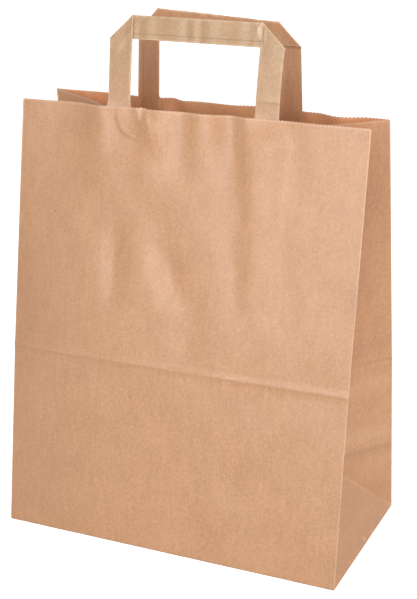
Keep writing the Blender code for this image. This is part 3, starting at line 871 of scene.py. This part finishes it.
def patch_depth(side, x):
    """Depth of the patch's middle: two smooth steps up and down over the legs."""
    flat = PAPER + GLUE_GAP + PATCH / 2
    raised = LEG_DEPTH + STRIP / 2 + GLUE_GAP + PATCH / 2
    lift = np.zeros(x.shape)
    for start in (HANDLE_LEFT[side], HANDLE_LEFT[side] + HANDLE_SPAN - STRIP_WIDTH):
        out = np.maximum(start - x, x - start - STRIP_WIDTH)
        lift = np.maximum(lift, 1 - np.clip((out - 0.0003) / 0.0013, 0, 1))
    return flat + (raised - flat) * lift ** 2 * (3 - 2 * lift)


for word, side in SIDES.items():
    left = HANDLE_LEFT[side]
    x = np.linspace(left - PATCH_MARGIN, left + HANDLE_SPAN + PATCH_MARGIN, PATCH_COLUMNS)
    top = WALL_LENGTH - PATCH_DROP
    height = np.linspace(top - PATCH_HEIGHT, top, PATCH_ROWS)
    grid_h, grid_x = np.meshgrid(height, x, indexing="ij")
    points = place(side, grid_x, grid_h, patch_depth(side, grid_x))
    quads = grid_quads(PATCH_ROWS, PATCH_COLUMNS)
    if side == BACK:
        quads = quads[:, ::-1]
    uv = np.stack((grid_x, grid_h), -1).reshape(-1, 2)[quads.ravel()]
    plain = {"wear_and_highlight": np.zeros(grid_x.size)}
    mesh = paper_mesh(word + "_glued_sheet", points.reshape(-1, 3), [quads], uv, plain, 60)
    sheet = new_piece(word + "_glued_sheet", mesh, PATCH, 0.0)
    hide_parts(word + "_patch")
    print(word, "patch:", len(mesh.polygons), "faces")

# %% [markdown]
# ## The block bottom
#
# Under the bottom ply lie the folded-in ears of the gussets, two triangles, and over them the two long flaps
# that are glued shut along the middle. Each is a sheet over a flat outline with straight sides, so a point is
# a blend of the outline's four corners. The back flap climbs onto the front flap where the two lap.

# %% Make the flaps and ears
FLAP_OVERLAP = 0.018


def blended_sheet(name, corners, height_at, steps=(60, 26)):
    """Downward sheet: a point is the two-way blend of the four corners, at the height given there."""
    s, t = np.meshgrid(np.linspace(0, 1, steps[0]), np.linspace(0, 1, steps[1]))
    c = np.array(corners, float)
    flat = (c[0] * ((1 - s) * (1 - t))[..., None] + c[1] * (s * (1 - t))[..., None]
            + c[2] * (s * t)[..., None] + c[3] * ((1 - s) * t)[..., None])
    z = height_at(flat[..., 0], flat[..., 1])
    points = np.concatenate((flat, z[..., None]), -1)
    quads = grid_quads(steps[1], steps[0])[:, (0, 3, 2, 1)]
    uv = (flat.reshape(-1, 2) + FLOOR_ON_MAP)[quads.ravel()]
    edge = np.minimum(np.minimum(s, 1 - s), np.minimum(t, 1 - t)) < 1e-6
    mesh = paper_mesh(name, points.reshape(-1, 3), [quads], uv, {"wear_and_highlight": edge.ravel() * 0.6}, 60)
    piece = new_piece(name, mesh, PAPER * 0.9, -1.0)
    return piece


def flap_ripple(x, y, seed):
    """Unevenness of a flap, which only stands up from the floor."""
    return 0.00004 * (1 + unevenness(x, y, 0.030, seed)).clip(0, 2)


half, depth, inset = BASE_WIDTH / 2, BASE_DEPTH / 2, 0.0002
lap = FLAP_OVERLAP / 2
hinge = half - 2 * inset
front_free, back_free = half - depth - lap, half - depth + lap
blended_sheet(
    "front_flap",
    [(-hinge + TWIST, -depth + inset), (hinge + TWIST, -depth + inset),
     (front_free + TWIST, lap), (-front_free + TWIST, lap)],
    lambda x, y: flap_ripple(x, y, 90),
)
blended_sheet(
    "back_flap",
    [(-back_free - TWIST, -lap), (back_free - TWIST, -lap),
     (hinge - TWIST, depth - inset), (-hinge - TWIST, depth - inset)],
    lambda x, y: PAPER * np.clip((depth - 0.004 - y) / 0.060, 0, 1) + flap_ripple(x, y, 91),
)
for word, end in (("left", LEFT), ("right", RIGHT)):
    tip, far = end * (half - depth + 0.001), end * (half - 3 * inset)
    outline = [(tip, -0.001), (far + TWIST, -depth + 3 * inset), (far - TWIST, depth - 3 * inset), (tip, 0.001)]
    if end == LEFT:
        outline = [outline[1], outline[0], outline[3], outline[2]]
    blended_sheet(word + "_ear", outline, lambda x, y: np.full(x.shape, PAPER), (30, 60))
print("bottom: two flaps and two ears")

# %% [markdown]
# ## Kraft paper
#
# Brown kraft paper is matt. Close up it shows short fibres that mostly run one way, a cloudy unevenness
# where they lie thicker or thinner, and a few darker specks of bark. The pattern is made from the object's own
# coordinates in metres, stretched along the walls, and kept in node groups, so that the bag, the strips and the
# patches share it and each sets its own strength. A photograph of paper would show its own light and repeat.

# %% Helpers for node groups
ALL_RESULTS = slice(None)


def new_group(name, inputs, outputs):
    """Empty node group, from the defaults of its inputs and the names of its results, and both its ends."""
    tree = bpy.data.node_groups.new(name, "ShaderNodeTree")
    for label, value in inputs.items():
        kind = "NodeSocketVector" if isinstance(value, tuple) else "NodeSocketFloat"
        tree.interface.new_socket(label, in_out="INPUT", socket_type=kind).default_value = value
    for label in outputs:
        tree.interface.new_socket(label, in_out="OUTPUT", socket_type="NodeSocketFloat")
    return tree, tree.nodes.new("NodeGroupInput").outputs, tree.nodes.new("NodeGroupOutput").inputs


def feed(tree, node, values):
    """Inputs of a node by name or place: a socket is linked, a number or triple is set, None is left."""
    for key, value in values.items():
        slot = node.inputs[key]
        if isinstance(value, bpy.types.NodeSocket):
            tree.links.new(value, slot)
        elif value is not None:
            slot.default_value = (*value, 1.0) if slot.type == "RGBA" else value
    return node.outputs


def add_node(tree, kind, values, output=0, **settings):
    """New node with its settings and inputs, and one of its results."""
    node = tree.nodes.new("ShaderNode" + kind)
    for key, value in settings.items():
        setattr(node, key, value)
    return feed(tree, node, values)[output]


def math_node(tree, operation, first, second=None, clamp=False):
    """Math over sockets or numbers."""
    return add_node(tree, "Math", {0: first, 1: second}, operation=operation, use_clamp=clamp)


def times(tree, first, second, clamp=False):
    """Product of two numbers."""
    return math_node(tree, "MULTIPLY", first, second, clamp)


def vector_node(tree, operation, first, second, output=0):
    """Vector math over sockets or triples."""
    return add_node(tree, "VectorMath", {0: first, 1: second}, output, operation=operation)


def noise_node(tree, vector, scale, detail, roughness):
    """Noise of about the given number of features a metre, around a half."""
    values = {"Vector": vector, "Scale": scale, "Detail": detail, "Roughness": roughness}
    return add_node(tree, "TexNoise", values, "Fac")


def ranged(tree, value, low, high, to_low=0.0, to_high=1.0):
    """Straight remapping of a value from one range to another, clamped."""
    values = {"Value": value, "From Min": low, "From Max": high, "To Min": to_low, "To Max": to_high}
    return add_node(tree, "MapRange", values, "Result")


print("node helpers ready")

# %% Groups: fibres, clouds, specks, pale lines of wear and painted highlight, marks of creases and painted shade
ORIGIN = (0.0, 0.0, 0.0)
# Each noise: weight, squeeze of the heights, features a metre, roughness.
NOISES = {
    "Fibre": ((0.42, 0.55, 1100.0, 0.6), (0.58, 0.8, 560.0, 0.5)),
    "Cloud": ((0.5, 1.0, 40.0, 0.5), (0.5, 0.09, 260.0, 0.55)),
}
fibre_group, source, result = new_group("kraft fibres", {"Point": ORIGIN}, ("Fibre", "Cloud", "Speck"))
for label, noises in NOISES.items():
    parts = []
    for weight, squeeze, scale, roughness in noises:
        squeezed = vector_node(fibre_group, "MULTIPLY", source["Point"], (1.0, 1.0, squeeze))
        parts.append(times(fibre_group, noise_node(fibre_group, squeezed, scale, 2.0, roughness), weight))
    fibre_group.links.new(math_node(fibre_group, "ADD", *parts), result[label])
grains = {"Vector": source["Point"], "Scale": 240.0}
distance, cell, *_ = add_node(fibre_group, "TexVoronoi", grains, ALL_RESULTS)
near = ranged(fibre_group, distance, 0.16, 0.05)
picked = math_node(fibre_group, "GREATER_THAN", add_node(fibre_group, "SeparateColor", {"Color": cell}), 0.93)
fibre_group.links.new(times(fibre_group, near, picked), result["Speck"])

# Pale line of wear, patchy by noise; along folds it also serves as a painted highlight.
wear_and_highlight_group, source, result = new_group("rubbed line", {"Point": ORIGIN, "Line": 0.0}, ("Wear_and_highlight",))
patchy = noise_node(wear_and_highlight_group, source["Point"], 160.0, 3.0, 0.6)
strength = ranged(wear_and_highlight_group, patchy, 0.35, 0.62, 0.25, 1.0)
wear_and_highlight_group.links.new(times(wear_and_highlight_group, source["Line"], strength, clamp=True), result["Wear_and_highlight"])

# A mark falls off with the distance from the nearest place on a short line over the map.
mark_group, source, result = new_group(
    "crease, painted shade and painted light mark", {"Point": ORIGIN, "Start": ORIGIN, "Way": (0.05, 0.0, 0.0), "Width": 0.002}, ("Mark",),
)
way = source["Way"]
from_start = vector_node(mark_group, "SUBTRACT", source["Point"], source["Start"])
run = vector_node(mark_group, "DOT_PRODUCT", from_start, way, 1)
length = vector_node(mark_group, "DOT_PRODUCT", way, way, 1)
share = math_node(mark_group, "DIVIDE", run, math_node(mark_group, "MAXIMUM", length, 1e-9), clamp=True)
nearest = add_node(mark_group, "VectorMath", {0: way, "Scale": share}, operation="SCALE")
away = vector_node(mark_group, "DISTANCE", from_start, nearest, 1)
fall = math_node(mark_group, "DIVIDE", away, source["Width"])
falling = math_node(mark_group, "SUBTRACT", 1.0, fall, clamp=True)
# The smooth minimum of a number and itself is that number less a twelfth, so a mark fades out early.
mark_group.links.new(math_node(mark_group, "SMOOTH_MIN", falling, falling), result["Mark"])
print("groups:", [g.name for g in (fibre_group, wear_and_highlight_group, mark_group)])

# %% [markdown]
# ## The finishes
#
# One function mixes the paper: a base colour between a darker and a lighter brown by the clouds and fibres,
# dark specks, pale lines along folds and cut edges, and a fine bump from the same fibres. Along the folds the
# pale is partly wear and partly a painted highlight. Creases that are too fine for the grid are drawn as marks
# on the paper's map, where they stay on the sheet however it is folded. A few marks are specks and worn spots
# of the paper itself. The rest are painted shade and painted light: dark lines in creases, dark and pale bands
# beside them, a darker low triangle of a gusset and a darker stretch along the front's left fold.

# %% Paper material


def named(tree, label):
    """Value of a mesh attribute."""
    return add_node(tree, "Attribute", {}, "Fac", attribute_name=label)


def mixed(tree, factor, first, second):
    """Colour between two colours. Each is a socket or an RGB triple."""
    return add_node(tree, "Mix", {0: factor, 6: first, 7: second}, 2, data_type="RGBA")


def darker(colour, share):
    """A share of a colour."""
    return tuple(share * value for value in colour)


def paper_material(name, dark, light, pale, marks=(), upper=None):
    """Kraft paper between two browns, pale where it is worn or cut, with a painted highlight along folds.

    A strip has two other browns at the top, and a dark line where its top ply ends. Marks paint creases, shade
    and light onto the paper's map.
    """
    material = bpy.data.materials.new(name)
    material.use_nodes = True
    tree = material.node_tree
    where = add_node(tree, "TexCoord", {}, "Object")
    fibre, cloud, speck = add_node(tree, "Group", {"Point": where}, ALL_RESULTS, node_tree=fibre_group)
    fibre_tone = ranged(tree, fibre, 0.36, 0.64, 0.0, 0.68)
    cloud_tone = ranged(tree, cloud, 0.36, 0.64, 0.0, 0.32)
    tone = math_node(tree, "ADD", fibre_tone, cloud_tone, clamp=True)
    colour = mixed(tree, tone, dark, light)
    if upper:
        at_top = ranged(tree, add_node(tree, "SeparateXYZ", {"Vector": where}, "Z"), 0.395, 0.445)
        colour = mixed(tree, at_top, colour, mixed(tree, tone, *upper))
    colour = mixed(tree, times(tree, speck, 0.35), colour, darker(dark, 0.45))
    # Pale where the paper is worn, which along folds is also a painted highlight.
    wear_and_highlight = add_node(tree, "Group", {"Point": where, "Line": named(tree, "wear_and_highlight")}, node_tree=wear_and_highlight_group)
    colour = mixed(tree, times(tree, wear_and_highlight, 0.75), colour, pale)
    colour = mixed(tree, times(tree, named(tree, "cut_edge"), 0.7), colour, pale)
    if upper:
        colour = mixed(tree, times(tree, named(tree, "ply_line"), 0.50), colour, darker(dark, 0.62))
    height = times(tree, fibre, 0.00010)
    on_map = add_node(tree, "UVMap", {}, uv_map="paper_map")
    for start, stop, width, lift, shade in marks:
        way = (stop[0] - start[0], stop[1] - start[1], 0.0)
        line = {"Point": on_map, "Start": (*start, 0.0), "Way": way, "Width": width}
        mark = add_node(tree, "Group", line, node_tree=mark_group)
        if lift:
            height = math_node(tree, "ADD", height, times(tree, mark, lift))
        # A mark's shade paints the paper darker or paler: in creases and in the bands beside them this is
        # painted shade and painted light, and for specks and worn spots it is the paper's own colour.
        if shade:
            drawn = pale if shade > 0 else darker(dark, 0.5)
            colour = mixed(tree, times(tree, mark, abs(shade)), colour, drawn)
    normal = add_node(tree, "Bump", {"Strength": 1.0, "Distance": 1.0, "Height": height})
    feed(tree, tree.nodes["Principled BSDF"], {
        "Roughness": 0.35, "Specular IOR Level": 0.62, "Normal": normal, "Base Color": colour,
    })
    return material


# %% Marks and finishes
# Each mark: start and stop on the map, half width, lift of the bump, and shade, pale above 0 and dark below.
SHEET_MARKS = (
    ((0.2628, 0.083), (0.320, 0.086), 0.0020, 0.00005, 0.0),
    # Painted highlight: a pale line along the front wall's right fold.
    ((0.320, 0.0), (0.320, 0.390), 0.0015, 0.0, 0.38),
    # Painted shade and painted light on the right gusset's cross crease: a dark line on it, a dark band above
    # and a pale band below.
    ((0.320, 0.1742), (0.490, 0.1680), 0.0022, 0.0, -0.12),
    ((0.330, 0.1900), (0.480, 0.1860), 0.0140, 0.0, -0.12),
    ((0.330, 0.1480), (0.480, 0.1460), 0.0150, 0.0, 0.14),
    # Painted shade and painted light at the gusset's slanted crease: a dark line with a bump, a dark band below
    # it and a pale band above.
    ((0.4343, 0.0806), (0.4897, 0.0715), 0.0045, 0.00025, -0.18),
    ((0.4343, 0.0766), (0.4897, 0.0675), 0.0090, 0.0, -0.14),
    ((0.4320, 0.0980), (0.4880, 0.0870), 0.0130, 0.0, 0.16),
    # Painted shade: the gusset's low triangle, made darker.
    ((0.345, 0.008), (0.465, 0.008), 0.0420, 0.0, -0.20),
    ((0.385, 0.045), (0.425, 0.045), 0.0300, 0.0, -0.14),
    ((0.033, 0.2935), (0.033, 0.2935), 0.0011, 0.0, 0.9),
    ((0.120, 0.013), (0.120, 0.013), 0.0008, 0.0, -0.7),
    ((0.4107, 0.004), (0.4107, 0.004), 0.0035, 0.0, 0.5),
    ((0.4294, 0.0), (0.4294, 0.0), 0.0045, 0.0, 0.5),
    # Painted shade: darker towards the front wall's left fold, and a darker patch low beside it.
    ((0.0, 0.030), (0.0, 0.390), 0.1400, 0.0, -0.21),
    ((0.020, 0.195), (0.020, 0.235), 0.0600, 0.0, -0.10),
)
FRONT_STRIP_MARKS = (
    # Painted shade and painted highlight on the front strip: a dark line with a pale one beside it on the left
    # corner's slanted crease, dark lines on the right leg's cross crease, and a dark line at the open fold's
    # edge.
    ((0.0125, 0.1437), (0.0205, 0.1458), 0.0006, -0.00008, -0.55),
    ((0.0125, 0.1448), (0.0205, 0.1469), 0.0006, 0.0, 0.30),
    ((0.0, 0.3282), (0.0110, 0.3274), 0.0006, 0.00012, -0.45),
    ((0.0110, 0.3274), (0.0215, 0.3286), 0.0005, 0.00010, -0.18),
    ((0.0187, 0.2750), (0.0187, 0.2830), 0.0008, 0.0, -0.75),
)
BACK_STRIP_MARKS = (
    # Two dark lines across the back strip; the first is painted shade along the fold line under its right
    # corner.
    ((0.0195, 0.1352), (0.0005, 0.1352), 0.0007, 0.0, -0.35),
    ((0.0, 0.1200), (0.0170, 0.1192), 0.0007, 0.0, -0.45),
)
kraft = paper_material(
    "kraft_sheet", (0.518, 0.268, 0.138), (0.696, 0.378, 0.204), (0.86, 0.62, 0.43), SHEET_MARKS,
)
# Painted light: the inside of the bag is a brighter, more orange copy of the kraft, standing in for light that
# comes through the paper and bounces inside the bag.
kraft_inside_painted_light = paper_material(
    "kraft_inside_painted_light", (0.760, 0.366, 0.182), (0.915, 0.470, 0.248), (0.90, 0.64, 0.44),
)
handle_kraft = paper_material(
    "handle_kraft", (0.492, 0.286, 0.158), (0.658, 0.402, 0.238), (0.84, 0.62, 0.44), FRONT_STRIP_MARKS,
    ((0.436, 0.262, 0.136), (0.600, 0.376, 0.212)),
)
# Painted light: the back handle is a brighter, more orange copy of the handle kraft, making up for the shade
# that the front handle and wall cast on it.
back_handle_painted_light = paper_material(
    "back_handle_painted_light", (0.665, 0.330, 0.176), (0.840, 0.440, 0.246), (0.90, 0.66, 0.46), BACK_STRIP_MARKS,
    ((0.605, 0.315, 0.168), (0.765, 0.422, 0.236)),
)
patch_kraft = paper_material(
    "patch_kraft", (0.560, 0.305, 0.172), (0.680, 0.382, 0.222), (0.84, 0.60, 0.42),
)
strip_finish = {"front_strip": handle_kraft, "back_strip": back_handle_painted_light}
for piece in bpy.data.objects:
    if piece.type == "MESH" and piece.name not in frame["nodes"]:
        finish = strip_finish.get(piece.name, patch_kraft if "glued" in piece.name else kraft)
        piece.data.materials.append(finish)
        piece.data.materials.append(kraft_inside_painted_light if finish is kraft else finish)
for node in frame["nodes"].values():
    node.data.materials.clear()
    finish = handle_kraft if "handle" in node.name else patch_kraft if "patch" in node.name else kraft
    node.data.materials.append(finish)
print("finishes:", [m.name for m in (kraft, handle_kraft, patch_kraft)])

# %% [markdown]
# ## Floor, light and camera
#
# The bag stands on a plain pale floor that keeps its soft shadow and is made white for the camera alone. The
# world lights everything evenly. A tall lamp in front on the left gives the paper its sheen, because from there
# it mirrors towards the camera. A high one reaches the inside of the back wall over the front rim, and one
# from the right lights the gusset. The camera was fitted to the bag's corners: 24 degrees to the right of the
# front and 19 degrees above, with a long lens.

# %% Floor and world
floor_mesh = bpy.data.meshes.new("floor")
floor_mesh.from_pydata([(-6, -6, 0), (6, -6, 0), (6, 6, 0), (-6, 6, 0)], [], [(0, 1, 2, 3)])
floor = bpy.data.objects.new("floor", floor_mesh)
floor.location.z = -0.0002
bpy.context.scene.collection.objects.link(floor)
floor_paint = bpy.data.materials.new("floor_white")
floor_paint.use_nodes = True
tree = floor_paint.node_tree
seen = add_node(tree, "LightPath", {}, "Is Camera Ray")
feed(tree, tree.nodes["Principled BSDF"], {
    "Base Color": (0.72, 0.72, 0.72), "Roughness": 0.9,
    "Emission Color": (1.0, 1.0, 1.0), "Emission Strength": times(tree, seen, 0.78),
})
floor_mesh.materials.append(floor_paint)

world = bpy.data.worlds.new("studio")
bpy.context.scene.world = world
world.use_nodes = True
tree = world.node_tree
seen = add_node(tree, "LightPath", {}, "Is Camera Ray")
strength = ranged(tree, seen, 0.0, 1.0, 0.57, 1.0)
feed(tree, tree.nodes["Background"], {"Color": (1.0, 1.0, 1.0), "Strength": strength})
print("floor and world ready")

# %% Lamps
CENTRE = Vector((0.0, 0.0, 0.25))
# Each lamp: place, watts, colour, width and height.
LAMPS = {
    "front lamp": ((-0.36, -2.10, 0.62), 10.2, (1.0, 0.99, 0.98), 0.45, 1.10),
    "high lamp": ((0.38, -1.42, 1.88), 13.0, (1.0, 0.99, 0.97), 1.1, 1.1),
    "side lamp": ((1.52, -0.17, 0.50), 9.0, (1.0, 0.97, 0.93), 0.8, 0.8),
}
for name, (at, watts, colour, width, tall) in LAMPS.items():
    lamp = bpy.data.lights.new(name, "AREA")
    lamp.energy, lamp.color = watts, colour
    lamp.shape, lamp.size, lamp.size_y = "RECTANGLE", width, tall
    item = bpy.data.objects.new(name, lamp)
    item.location = at
    item.rotation_euler = (CENTRE - Vector(at)).to_track_quat("-Z", "Y").to_euler()
    bpy.context.scene.collection.objects.link(item)
print("lamps:", list(LAMPS))

# %% Camera
YAW, PITCH, ROLL = 24.24, 19.00, 0.05
FOCAL_PIXELS, LONG_SIDE = 1417.86, 599
camera_data = bpy.data.cameras.new("camera")
camera_data.sensor_width = 36.0
camera_data.lens = FOCAL_PIXELS / LONG_SIDE * camera_data.sensor_width
camera = bpy.data.objects.new("camera", camera_data)
camera.location = (0.4986, -1.0932, 0.6261)
camera.rotation_euler = (math.radians(90 - PITCH), math.radians(ROLL), math.radians(YAW))
bpy.context.scene.collection.objects.link(camera)
bpy.context.scene.camera = camera
print("lens %.1f mm" % camera_data.lens)

# %% Colour management
bpy.context.scene.view_settings.view_transform = "Standard"
